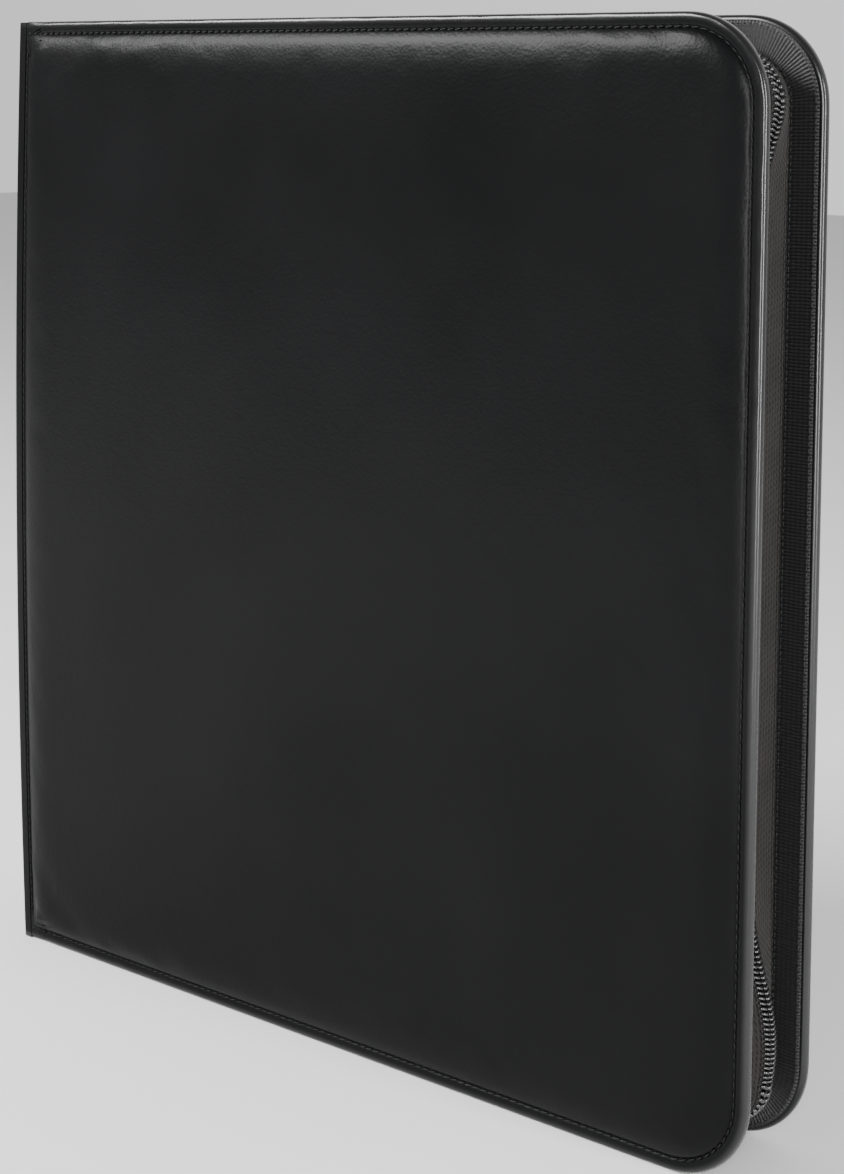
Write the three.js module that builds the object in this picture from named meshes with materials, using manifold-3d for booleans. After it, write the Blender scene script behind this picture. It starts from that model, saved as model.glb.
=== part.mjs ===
// A zippered binder for collector cards: two padded leatherette covers on a padded spine, twenty bound
// leaves with twelve pockets to a side, and a coil zipper that closes the three open edges.
// It stands on its bottom edge. +Z is up, X runs from the spine to the fore edge, the front cover faces -Y,
// and the origin is at the middle of the footprint. Millimetres.
import * as THREE from 'three';
import { mergeVertices } from 'three/addons/utils/BufferGeometryUtils.js';
import Module from 'manifold-3d';

const wasm = await Module();
wasm.setup();

// Overall size
const binderWidth = 320;         // crown of the spine to the fore edge
const binderHeight = 349;
const rimDepth = 39;             // outer face of one cover's rim to that of the other
const padRise = 2.2;             // the padding's crown above the rim

// Cover and spine layers, from the outside in
const skinThickness = 1;
const boardThickness = 1.8;
const liningThickness = 0.6;
const layerGap = 0.3;            // room left between pieces that touch
const foreCornerRadius = 27;
const hingeCornerRadius = 1.5;
const rimRounding = 0.8;         // how far the turned edge is rounded on each side
const stitchInset = 4.5;         // cover edge to the seam where the padding starts
const hingeStitchInset = 1.2;    // the same at the sides that fold
const coverCrownWidth = 12;      // seam to the flat of the padding
const spineCrownWidth = 8;

// Zipper: two tapes that stand on the covers' insides, each with half of the coil on its free edge
const tapeInset = 11.5;          // cover edge to the tape's outer face
const tapeThickness = 0.8;
const tapeEdgeToMiddle = 2.2;
const coilHalfGap = 0.75;        // middle of the chain to a coil half
const coilHalfDepth = 1.15;
const coilThickness = 2.2;
const tapeStartGap = 3;          // spine's inner face to the tapes' ends
const webbingEdgeGap = 0.3;      // turned edge to the ribbed webbing, and webbing to the tape

// Slider, stops and pull tab
const sliderLength = 12;
const sliderPlateThickness = 1;
const sliderChannelHeight = 3;
const sliderChannelHalfWidth = 3.4;
const sliderFlangeThickness = 0.8;
const sliderSlotHeight = 1.5;    // the tapes run through this slot between the flanges
const sliderPostWidth = 0.9;
const sliderPostLength = 2.5;
const sliderParkGap = 2;         // top stop to the parked slider's nose
const stopLength = 3;
const stopThickness = 2.8;
const pullBarHeight = 1;         // slider's top to the middle of the pull tab's bar
const pullBarWidth = 1.2;
const pullTabLength = 30;
const pullTabWidth = 8;
const pullTabThickness = 1.2;
const pullEyeLength = 3.9;
const pullEyeWidth = 3.2;
const bridgeHalfLength = 3.2;
const bridgeWidth = 1.6;
const bridgeThickness = 0.8;
const endTabWidth = 16;
const endTabLength = 5;
const endTabThickness = 0.8;
const endTabOverhang = 1;        // how far a patch reaches past the tapes' ends

// Leaves and their binding on the spine
const leafCount = 20;
const leafThickness = 0.6;
const leafSideRoom = 2.85;       // outermost leaf to a cover's inner face
const leafEndMargin = 13.2;      // leaf to a tape, at the top and bottom
const leafForeMargin = 8;
const leafCornerRadius = 3;
const leafToBinding = 0.6;
const bindingThickness = 3;

const arcSteps = 12;             // facets in a quarter turn

// Sizes that follow
const edgeThickness = skinThickness + boardThickness + liningThickness + 2 * layerGap;
const rimOuter = rimDepth / 2;                     // distances from the middle plane between the covers
const coverInner = rimOuter - edgeThickness;
const foamInset = stitchInset + skinThickness + layerGap;
const hingeY = rimOuter - edgeThickness / 2;
const spineRimX = binderWidth / 2 - padRise;       // distance from the origin, towards -X
const hingeX = -(spineRimX - edgeThickness / 2);
const panelToHinge = edgeThickness / 2 + layerGap;
const spineInnerX = hingeX + edgeThickness / 2;
const foreX = binderWidth / 2;
const tapeMidInset = tapeInset + tapeThickness / 2;
const coilReach = coilHalfGap + coilHalfDepth;
const tapeStartX = spineInnerX + tapeStartGap;
const endTabX = tapeStartX - endTabOverhang;
const stopX = endTabX + endTabLength + layerGap;
const chainStartX = stopX + stopLength + layerGap;
const sliderNoseX = stopX + stopLength + sliderParkGap;
const sliderMiddleX = sliderNoseX + sliderLength / 2;
const sliderMouthX = sliderNoseX + sliderLength;
const chainTopZ = binderHeight - tapeMidInset;     // the zipper's mid plane along the top
const sliderTopZ = chainTopZ + sliderChannelHeight / 2 + sliderPlateThickness;
const leafPitch = (2 * (coverInner - leafSideRoom) - leafThickness) / (leafCount - 1);
const leafStagger = leafThickness;        // each leaf is bound this much further out than its outer one
const bindingX = spineInnerX + layerGap;
const firstLeafX = bindingX + bindingThickness + leafToBinding;
const leafEndX = foreX - tapeInset - tapeThickness - leafForeMargin;
const leafBottomZ = tapeInset + tapeThickness + leafEndMargin;
const leafTopZ = binderHeight - leafBottomZ;

const materials = {
  leatherette: new THREE.MeshStandardMaterial({ color: 0x242527, roughness: 0.48 }),
  foam: new THREE.MeshStandardMaterial({ color: 0xb9b6ac, roughness: 0.95 }),
  board: new THREE.MeshStandardMaterial({ color: 0x8d867a, roughness: 0.9 }),
  lining: new THREE.MeshStandardMaterial({ color: 0x1d1d1f, roughness: 0.8 }),
  webbing: new THREE.MeshStandardMaterial({ color: 0x161617, roughness: 0.85 }),
  zipTape: new THREE.MeshStandardMaterial({ color: 0x35312f, roughness: 0.85 }),
  zipCoil: new THREE.MeshStandardMaterial({ color: 0x1b1b1c, roughness: 0.35 }),
  zipMetal: new THREE.MeshStandardMaterial({ color: 0x2a2b2d, roughness: 0.35, metalness: 0.8 }),
  binding: new THREE.MeshStandardMaterial({ color: 0x141415, roughness: 0.6 }),
  leaf: new THREE.MeshStandardMaterial({ color: 0x18191b, roughness: 0.25 }),
};

// A geometry as a manifold solid, and a solid as a geometry.
function solidOf(geometry) {
  const bare = geometry.clone();
  bare.deleteAttribute('normal');
  bare.deleteAttribute('uv');
  const merged = mergeVertices(bare, 1e-3);
  return new wasm.Manifold(new wasm.Mesh({
    numProp: 3,
    vertProperties: merged.attributes.position.array,
    triVerts: new Uint32Array(merged.index.array),
  }));
}

function geometryOf(solid) {
  const mesh = solid.getMesh();
  const geometry = new THREE.BufferGeometry();
  geometry.setAttribute('position', new THREE.BufferAttribute(mesh.vertProperties, 3));
  geometry.setIndex(new THREE.BufferAttribute(mesh.triVerts, 1));
  const faceted = geometry.toNonIndexed();
  faceted.computeVertexNormals();
  return faceted;
}

function named(name, geometry, material) {
  const mesh = new THREE.Mesh(geometry, material);
  mesh.name = name;
  return mesh;
}

function boxFromTo(low, high) {
  const size = high.map((value, i) => value - low[i]);
  const box = new THREE.BoxGeometry(...size);
  box.translate(...low.map((value, i) => value + size[i] / 2));
  return box;
}

// A quarter turn anticlockwise about (x, y), as points. Small corners take a plain chamfer.
function quarterTurn(x, y, radius, startAngle) {
  const steps = radius > 5 ? arcSteps : radius > 0 ? 2 : 0;
  return Array.from({ length: steps + 1 }, (_, i) => {
    const angle = startAngle + (i / Math.max(steps, 1)) * Math.PI / 2;
    return new THREE.Vector2(x + radius * Math.cos(angle), y + radius * Math.sin(angle));
  });
}

// A panel is a rectangle with its own corner radii at the hinge side (left) and the fore side (right).
function panelShape(panel, inset) {
  const left = panel.left + inset;
  const right = panel.right - inset;
  const bottom = inset;
  const top = binderHeight - inset;
  const near = Math.max(panel.hingeRadius - inset, 0);
  const far = Math.max(panel.foreRadius - inset, 0);
  return new THREE.Shape([
    ...quarterTurn(right - far, bottom + far, far, -Math.PI / 2),
    ...quarterTurn(right - far, top - far, far, 0),
    ...quarterTurn(left + near, top - near, near, Math.PI / 2),
    ...quarterTurn(left + near, bottom + near, near, Math.PI),
  ]);
}

// A band of constant width that runs along the top, the fore edge and the bottom of a cover.
function bandShape(outerInset, innerInset, topStart, bottomStart) {
  const side = (inset) => [
    new THREE.Vector2(bottomStart, inset),
    ...quarterTurn(foreX - foreCornerRadius, foreCornerRadius, foreCornerRadius - inset, -Math.PI / 2),
    ...quarterTurn(foreX - foreCornerRadius, binderHeight - foreCornerRadius, foreCornerRadius - inset, 0),
    new THREE.Vector2(topStart, binderHeight - inset),
  ];
  return new THREE.Shape([...side(outerInset), ...side(innerInset).reverse()]);
}

// Extrudes a shape between two distances from the middle plane, its two outer edges rounded by `rounding`.
function layer(shape, from, to, rounding = 0) {
  const geometry = new THREE.ExtrudeGeometry(shape, {
    depth: to - from - 2 * rounding,
    bevelEnabled: rounding > 0,
    bevelThickness: rounding,
    bevelSize: rounding,
    bevelOffset: -rounding,
    bevelSegments: 3,
  });
  geometry.translate(0, 0, from + rounding);
  return geometry;
}

// The padding's outer form: it swells from the seam to its flat over the crown's width.
function pillow(panelWhole, inset, top, rise) {
  const flat = 0.2;
  const shift = stitchInset - hingeStitchInset;
  const right = panelWhole.right + panelWhole.folds * shift;
  const panel = { ...panelWhole, left: panelWhole.left - shift, right };
  const halfWidth = (panel.right - panel.left) / 2 - inset;
  const crown = Math.min(panel.crownWidth, 0.9 * halfWidth);
  const geometry = new THREE.ExtrudeGeometry(panelShape(panel, inset), {
    depth: flat,
    bevelThickness: rise,
    bevelSize: crown,
    bevelOffset: -crown,
    bevelSegments: 5,
  });
  geometry.translate(0, 0, top - rise - flat);
  return geometry;
}

// Skin, foam and board of one padded panel, with z as the distance from the middle outwards.
function paddedPanel(prefix, panel) {
  const { rim } = panel;
  const rise = padRise + 0.8 * skinThickness;
  const inner = rim - edgeThickness;
  const boardOuter = rim - skinThickness - layerGap;
  const hollow = layer(panelShape(panel, skinThickness), inner - 1, rim - skinThickness);
  const padHollow = pillow(panel, stitchInset + skinThickness, rim + padRise - skinThickness, rise);
  const skin = solidOf(layer(panelShape(panel, 0), inner, rim, rimRounding))
    .add(solidOf(pillow(panel, stitchInset, rim + padRise, rise)))
    .subtract(solidOf(hollow))
    .subtract(solidOf(padHollow));
  const underFoam = layer(panelShape(panel, 0), inner - rise, boardOuter + layerGap);
  const foam = solidOf(pillow(panel, foamInset, rim + padRise - skinThickness - layerGap, rise))
    .subtract(solidOf(underFoam));
  const board = layer(panelShape(panel, skinThickness + layerGap), boardOuter - boardThickness, boardOuter);
  return [
    named(prefix + '_skin', geometryOf(skin), materials.leatherette),
    named(prefix + '_foam', geometryOf(foam), materials.foam),
    named(prefix + '_board', board, materials.board),
  ];
}

// One cover with its lining, webbing, zipper tape and coil half. z is the distance from the middle plane.
function cover(side, coilTopStart, coilBottomStart) {
  const panel = {
    left: hingeX + panelToHinge,
    right: foreX,
    rim: rimOuter,
    hingeRadius: hingeCornerRadius,
    foreRadius: foreCornerRadius,
    folds: 0,                      // the right side of a cover is its fore edge
    crownWidth: coverCrownWidth,
  };
  const group = new THREE.Group();
  group.rotation.x = Math.PI / 2;
  group.add(...paddedPanel(side + '_cover', panel));

  const trimStart = panel.left + skinThickness + webbingEdgeGap;
  const webbingOuter = skinThickness + webbingEdgeGap;
  const liningOuter = coverInner + liningThickness;
  const webbing = bandShape(webbingOuter, tapeInset - webbingEdgeGap, trimStart, trimStart);
  group.add(named(side + '_edge_webbing', layer(webbing, coverInner, liningOuter), materials.webbing));

  const tapeInnerInset = tapeInset + tapeThickness;
  const liningInset = tapeInnerInset + webbingEdgeGap;
  const liningPanel = { ...panel, left: trimStart - liningInset };
  const lining = layer(panelShape(liningPanel, liningInset), coverInner, liningOuter);
  group.add(named(side + '_cover_lining', lining, materials.lining));

  const tape = bandShape(tapeInset, tapeInnerInset, tapeStartX, tapeStartX);
  const tapeRoot = coverInner + layerGap;
  group.add(named(side + '_zip_tape', layer(tape, tapeEdgeToMiddle, tapeRoot), materials.zipTape));

  const coilOuter = tapeMidInset - coilThickness / 2;
  const coil = bandShape(coilOuter, coilOuter + coilThickness, coilTopStart, coilBottomStart);
  group.add(named(side + '_zip_coil', layer(coil, coilHalfGap, coilReach), materials.zipCoil));
  return group;
}

// The leatherette fold between a cover and the spine, rolled round the hinge line.
function hingeRoll(side, y) {
  const radius = edgeThickness / 2;
  const roll = new THREE.CylinderGeometry(radius, radius, binderHeight - 2 * rimRounding, 2 * arcSteps);
  roll.rotateX(Math.PI / 2);
  roll.translate(hingeX, y, binderHeight / 2);
  return named(side + '_hinge_roll', roll, materials.leatherette);
}

// The spine's panel: z is the distance from the origin towards -X, and x runs towards -Y.
function spinePanel() {
  const halfWidth = hingeY - panelToHinge;
  const panel = {
    left: -halfWidth,
    right: halfWidth,
    rim: spineRimX,
    hingeRadius: hingeCornerRadius,
    foreRadius: hingeCornerRadius,
    folds: 1,                      // both long sides of the spine fold
    crownWidth: spineCrownWidth,
  };
  const group = new THREE.Group();
  const axes = new THREE.Matrix4().makeBasis(
    new THREE.Vector3(0, -1, 0),
    new THREE.Vector3(0, 0, 1),
    new THREE.Vector3(-1, 0, 0),
  );
  group.quaternion.setFromRotationMatrix(axes);
  group.add(...paddedPanel('spine', panel));
  const inner = spineRimX - edgeThickness;
  const lining = layer(panelShape(panel, skinThickness + layerGap), inner, inner + liningThickness);
  group.add(named('spine_lining', lining, materials.lining));
  return group;
}

// Steps from the nearer outside leaf to leaf k, counted from 0 at the front.
function leavesOutside(k) {
  return Math.min(k, leafCount - 1 - k);
}

function leafHinge(k) {
  return {
    x: firstLeafX + leafStagger * leavesOutside(k),
    y: (k - (leafCount - 1) / 2) * leafPitch,
  };
}

// The strip the leaves are welded to: its crown carries the inner leaves further out than the outer ones.
function pageBinding() {
  const outline = new THREE.Shape();
  const endY = leafHinge(leafCount - 1).y + leafPitch;
  outline.moveTo(bindingX, -endY);
  outline.lineTo(bindingX, endY);
  outline.lineTo(bindingX + bindingThickness - leafStagger, endY);
  const crown = leafHinge(leafCount / 2);
  outline.lineTo(crown.x - leafToBinding, crown.y);
  outline.lineTo(crown.x - leafToBinding, -crown.y);
  outline.lineTo(bindingX + bindingThickness - leafStagger, -endY);
  const strip = new THREE.ExtrudeGeometry(outline, { depth: leafTopZ - leafBottomZ, bevelEnabled: false });
  strip.translate(0, 0, leafBottomZ);
  return named('page_binding', strip, materials.binding);
}

function leaf(k) {
  const hinge = leafHinge(k);
  const r = leafCornerRadius;
  const outline = new THREE.Shape([
    new THREE.Vector2(hinge.x, leafBottomZ),
    ...quarterTurn(leafEndX - r, leafBottomZ + r, r, -Math.PI / 2),
    ...quarterTurn(leafEndX - r, leafTopZ - r, r, 0),
    new THREE.Vector2(hinge.x, leafTopZ),
  ]);
  const sheet = layer(outline, -hinge.y - leafThickness / 2, -hinge.y + leafThickness / 2);
  sheet.rotateX(Math.PI / 2);
  return named('page_' + String(k + 1).padStart(2, '0'), sheet, materials.leaf);
}

// The slider, parked on the top run: two plates joined by a post, with flanges that hold the chain.
function zipSlider() {
  const outerHalfWidth = sliderChannelHalfWidth + sliderFlangeThickness;
  const channel = sliderChannelHeight / 2;
  const overlap = 0.2;
  const boxes = [];
  for (const up of [-1, 1]) {
    const near = chainTopZ + up * channel;
    const far = near + up * sliderPlateThickness;
    boxes.push(boxFromTo(
      [sliderNoseX, -outerHalfWidth, Math.min(near, far)],
      [sliderMouthX, outerHalfWidth, Math.max(near, far)],
    ));
    for (const side of [-1, 1]) {
      const inner = side * sliderChannelHalfWidth;
      const outer = side * outerHalfWidth;
      const tip = chainTopZ + up * sliderSlotHeight / 2;
      const root = near + up * overlap;
      boxes.push(boxFromTo(
        [sliderNoseX, Math.min(inner, outer), Math.min(tip, root)],
        [sliderMouthX, Math.max(inner, outer), Math.max(tip, root)],
      ));
    }
  }
  boxes.push(boxFromTo(
    [sliderNoseX, -sliderPostWidth / 2, chainTopZ - channel - overlap],
    [sliderNoseX + sliderPostLength, sliderPostWidth / 2, chainTopZ + channel + overlap],
  ));
  // The bridge that carries the pull tab: two legs and a bar.
  const barBottom = sliderTopZ + pullBarHeight + pullBarWidth / 2 + layerGap;
  for (const end of [-1, 1]) {
    const inner = sliderMiddleX + end * (bridgeHalfLength - bridgeThickness);
    const outer = sliderMiddleX + end * bridgeHalfLength;
    boxes.push(boxFromTo(
      [Math.min(inner, outer), -bridgeWidth / 2, sliderTopZ - overlap],
      [Math.max(inner, outer), bridgeWidth / 2, barBottom + overlap],
    ));
  }
  boxes.push(boxFromTo(
    [sliderMiddleX - bridgeHalfLength, -bridgeWidth / 2, barBottom],
    [sliderMiddleX + bridgeHalfLength, bridgeWidth / 2, barBottom + bridgeThickness],
  ));
  const body = boxes.map(solidOf).reduce((whole, piece) => whole.add(piece));
  return named('zip_slider', geometryOf(body), materials.zipMetal);
}

// A flat tab with an eye; the bar beyond the eye lies under the slider's bridge and the tab swings on it.
function zipPullTab() {
  const half = pullTabWidth / 2;
  const outline = new THREE.Shape();
  const barHalf = pullBarWidth / 2;
  const neck = pullEyeWidth / 2 + 1;
  const shoulder = pullEyeLength + 4;
  outline.moveTo(-barHalf, -neck);
  outline.lineTo(pullEyeLength, -neck);
  outline.lineTo(shoulder, -half);
  outline.absarc(pullTabLength - half, 0, half, -Math.PI / 2, Math.PI / 2);
  outline.lineTo(shoulder, half);
  outline.lineTo(pullEyeLength, neck);
  outline.lineTo(-barHalf, neck);
  const eye = new THREE.Path();
  eye.moveTo(barHalf, -pullEyeWidth / 2);
  eye.lineTo(barHalf, pullEyeWidth / 2);
  eye.lineTo(barHalf + pullEyeLength, pullEyeWidth / 2);
  eye.lineTo(barHalf + pullEyeLength, -pullEyeWidth / 2);
  outline.holes.push(eye);
  const tab = new THREE.ExtrudeGeometry(outline, {
    depth: pullTabThickness,
    bevelEnabled: false,
    curveSegments: arcSteps,
  });
  tab.translate(sliderMiddleX, 0, sliderTopZ + pullBarHeight - pullTabThickness / 2);
  return named('zip_pull_tab', tab, materials.zipMetal);
}

// The zipper's ends: a stop on the coil at the top, one at the bottom, and a patch over the tapes at each.
function zipEnds() {
  const stop = (name, z, nearY) => named(name, boxFromTo(
    [stopX, nearY, z - stopThickness / 2],
    [stopX + stopLength, coilReach, z + stopThickness / 2],
  ), materials.zipCoil);
  const patch = (name, z, up) => {
    const under = z + up * (tapeThickness / 2 + layerGap);
    const over = under + up * endTabThickness;
    return named(name, boxFromTo(
      [endTabX, -endTabWidth / 2, Math.min(under, over)],
      [endTabX + endTabLength, endTabWidth / 2, Math.max(under, over)],
    ), materials.leatherette);
  };
  return [
    stop('zip_top_stop', chainTopZ, coilHalfGap),
    stop('zip_bottom_stop', tapeMidInset, -coilReach),
    patch('zip_end_tab_top', chainTopZ, 1),
    patch('zip_end_tab_bottom', tapeMidInset, -1),
  ];
}

const binder = new THREE.Group();
binder.add(cover('front', sliderMouthX + layerGap, chainStartX));

const backHalf = new THREE.Group();
backHalf.scale.y = -1;
backHalf.add(cover('back', chainStartX, chainStartX));
binder.add(backHalf);

binder.add(hingeRoll('front', -hingeY), hingeRoll('back', hingeY), spinePanel(), pageBinding());
for (let k = 0; k < leafCount; k++) binder.add(leaf(k));
binder.add(zipSlider(), zipPullTab(), ...zipEnds());

export default binder;
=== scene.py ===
import math
import bmesh
import bpy
from mathutils import Matrix, Vector


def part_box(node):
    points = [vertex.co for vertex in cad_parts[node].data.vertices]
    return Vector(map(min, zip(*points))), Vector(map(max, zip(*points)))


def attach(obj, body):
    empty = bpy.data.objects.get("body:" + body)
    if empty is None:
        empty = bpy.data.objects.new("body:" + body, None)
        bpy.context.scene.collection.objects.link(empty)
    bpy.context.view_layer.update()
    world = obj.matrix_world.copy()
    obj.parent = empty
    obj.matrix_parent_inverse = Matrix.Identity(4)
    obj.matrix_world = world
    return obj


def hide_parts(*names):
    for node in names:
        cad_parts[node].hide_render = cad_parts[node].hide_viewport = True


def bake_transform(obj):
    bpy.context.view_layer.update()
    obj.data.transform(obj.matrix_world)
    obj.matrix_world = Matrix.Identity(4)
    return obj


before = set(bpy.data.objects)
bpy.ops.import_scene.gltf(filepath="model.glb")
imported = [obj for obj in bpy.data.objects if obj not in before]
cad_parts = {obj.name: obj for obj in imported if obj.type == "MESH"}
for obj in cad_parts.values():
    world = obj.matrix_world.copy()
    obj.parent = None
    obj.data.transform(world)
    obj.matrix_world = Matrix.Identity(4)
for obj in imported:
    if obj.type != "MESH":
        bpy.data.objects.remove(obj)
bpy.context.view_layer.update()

# The camera stands before the fore edge, a little above the binder's middle, and its rising front keeps the
# binder's uprights nearly straight.
bpy.ops.object.select_all(action="DESELECT")
yaw, pitch, roll = math.radians(38.64), math.radians(4.30), math.radians(0.46)
ahead = Vector((-math.sin(yaw) * math.cos(pitch), math.cos(yaw) * math.cos(pitch), -math.sin(pitch)))
level = Vector((math.cos(yaw), math.sin(yaw), 0))
above = level.cross(ahead)
side_axis = math.cos(roll) * level + math.sin(roll) * above
up_axis = math.cos(roll) * above - math.sin(roll) * level
bpy.ops.object.camera_add()
camera = bpy.context.object
camera.matrix_world = Matrix.Translation((0.4773, -0.5722, 0.3273)) @ Matrix(
    (side_axis, up_axis, -ahead)).transposed().to_4x4()
camera.data.sensor_fit = "VERTICAL"
camera.data.sensor_height = 36
camera.data.lens = 67.89
camera.data.shift_y = -0.2871
bpy.context.scene.camera = camera


# The studio: a pale sweep of floor, a large soft light high on the left, a tall narrow one before the fore edge
# and another beside it, and a pale room that is brighter behind the binder.
class Finish:
    """A material under construction. Arithmetic on its sockets adds the nodes for it."""

    def __init__(self, tree, socket=None):
        self.tree = tree
        self.socket = socket

    def node(self, kind, settings=None, values=None, output=0):
        """Adds a node: its settings first, a ramp's stops among them, then its sockets' values or links."""
        made = self.tree.nodes.new(kind)
        for key, value in (settings or {}).items():
            if key == "stops":
                ramp = made.color_ramp.elements
                while len(ramp) < len(value):
                    ramp.new(0.5)
                for element, (position, colour) in zip(ramp, value):
                    element.position = position
                    element.color = (*colour, 1)
            else:
                setattr(made, key, value)
        for key, value in (values or {}).items():
            if isinstance(value, Finish):
                self.tree.links.new(value.socket, made.inputs[key])
            else:
                made.inputs[key].default_value = value
        return Finish(self.tree, made.outputs[output] if len(made.outputs) else made)

    def maths(self, operation, *values):
        return self.node("ShaderNodeMath", {"operation": operation}, dict(enumerate(values)))

    def __add__(self, other):
        return self.maths("ADD", self, other)

    def __mul__(self, other):
        return self.maths("MULTIPLY", self, other)

    def __sub__(self, other):
        return self.maths("SUBTRACT", self, other)

    def __rsub__(self, other):
        return self.maths("SUBTRACT", other, self)

    __radd__ = __add__
    __rmul__ = __mul__


def finish_named(name, **constants):
    """A new material, its shader, and its place in object coordinates, which starts its expressions."""
    material = bpy.data.materials.new(name)
    material.use_nodes = True
    tree = material.node_tree
    shader = tree.nodes["Principled BSDF"]
    for key, value in constants.items():
        shader.inputs[key.replace("_", " ")].default_value = value
    return material, shader, Finish(tree).node("ShaderNodeTexCoord", output="Object")


def plug(value, shader, socket):
    value.tree.links.new(value.socket, shader.inputs[socket])


bpy.ops.mesh.primitive_plane_add(size=9, location=(0, 0, 0))
floor = bpy.context.object
floor.name = "studio_floor"
floor_paint, shader, place = finish_named("studio floor", Roughness=0.9)
shader.inputs["Base Color"].default_value = (0.86, 0.86, 0.86, 1)
floor.data.materials.append(floor_paint)

room = bpy.data.worlds.new("pale room")
bpy.context.scene.world = room
room.use_nodes = True
facing = Finish(room.node_tree).node("ShaderNodeTexCoord", output="Generated")
depth = facing.node("ShaderNodeSeparateXYZ", {}, {"Vector": facing}, output="Y")
wall_tone = facing.node("ShaderNodeValToRGB", {"stops": [(0.45, (0.42,) * 3), (0.95, (1.0,) * 3)]},
                        {"Fac": depth * 0.5 + 0.5})
plug(wall_tone, room.node_tree.nodes["Background"], "Color")


def soft_light(name, at, towards, size, watts):
    bpy.ops.object.light_add(type="AREA", location=at)
    light = bpy.context.object
    light.name = name
    light.data.shape = "RECTANGLE"
    light.data.size, light.data.size_y = size
    light.data.energy = watts
    light.rotation_euler = (Vector(towards) - Vector(at)).to_track_quat("-Z", "Y").to_euler()


soft_light("key_light", (-1.0, -1.2, 1.15), (0, 0, 0.3), (0.9, 0.6), 74)
soft_light("fore_light", (0.75, -0.95, 0.35), (0.16, 0, 0.17), (0.16, 0.8), 17)
soft_light("rim_light", (1.25, 0.02, 0.30), (0.16, 0, 0.17), (0.12, 0.9), 16)


# The front cover's skin: leatherette drawn over foam and a board, sewn through along all four sides, with its
# edge turned over the board. It is modelled flat, outer face up, then stood upright. Between the seams the
# leatherette is cloth that is blown up a little, so that it puffs and puckers along the stitches.
PANEL_LEFT, PANEL_RIGHT, COVER_HEIGHT = -0.1568, 0.16, 0.349
RIM_OUTER, RIM_INNER = 0.0195, 0.0155
FORE_RADIUS = 0.027
SEAM_INSET = 0.0045
LEATHER_THICKNESS = 0.0009
RIM_ROUNDING, TURNED_IN_LIP = 0.0016, 0.0010


def settle():
    """Puts the place, turn and size of what is selected into its mesh."""
    bpy.ops.object.transform_apply(location=True, rotation=True, scale=True)


def start_piece(name):
    """Names the object that an operator has just added and opens it for editing."""
    piece = bpy.context.object
    piece.name = piece.data.name = name
    settle()
    bpy.ops.object.mode_set(mode="EDIT")
    return piece


def flat_start(name, middle, width, height):
    """A plane that lies flat on the bench, open for editing."""
    bpy.ops.object.select_all(action="DESELECT")
    bpy.ops.mesh.primitive_plane_add(size=1, location=middle)
    bpy.context.object.scale = (width, height, 1)
    return start_piece(name)


def pick(piece, wanted, kind="VERT"):
    """Selects the vertices, edges or faces that wanted(element) is true of, and nothing else."""
    bpy.ops.mesh.select_mode(type=kind)
    bpy.ops.mesh.select_all(action="DESELECT")
    mesh = bmesh.from_edit_mesh(piece.data)
    elements = {"VERT": mesh.verts, "EDGE": mesh.edges, "FACE": mesh.faces}[kind]
    for element in elements:
        if wanted(element):
            element.select_set(True)
    mesh.select_flush_mode()
    bmesh.update_edit_mesh(piece.data)


def edge_runs(edge, axis, where=lambda middle: True):
    """True of a straight edge along an axis whose middle passes the test."""
    a, b = (v.co for v in edge.verts)
    along = b - a
    return abs(along[axis]) > 0.999 * along.length and where((a + b) / 2)


def extrude(x, y, z):
    bpy.ops.mesh.extrude_region_move(TRANSFORM_OT_translate={"value": (x, y, z)})


def finish_editing():
    bpy.ops.object.mode_set(mode="OBJECT")


def face_outwards():
    bpy.ops.mesh.select_all(action="SELECT")
    bpy.ops.mesh.normals_make_consistent(inside=False)


def only(*pieces):
    bpy.ops.object.select_all(action="DESELECT")
    for piece in pieces:
        piece.select_set(True)
    bpy.context.view_layer.objects.active = pieces[0]


def stand_up(piece):
    """Turns a piece that was modelled flat, with z outwards, to stand with that side to the front."""
    only(piece)
    piece.rotation_euler = (math.pi / 2, 0, 0)
    settle()


def ring_in(thickness, rise):
    """Insets the selected flat faces and lifts what lies inside the new ring."""
    bpy.ops.mesh.inset(thickness=thickness, depth=0, use_even_offset=True)
    bpy.ops.transform.translate(value=(0, 0, rise))


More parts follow.
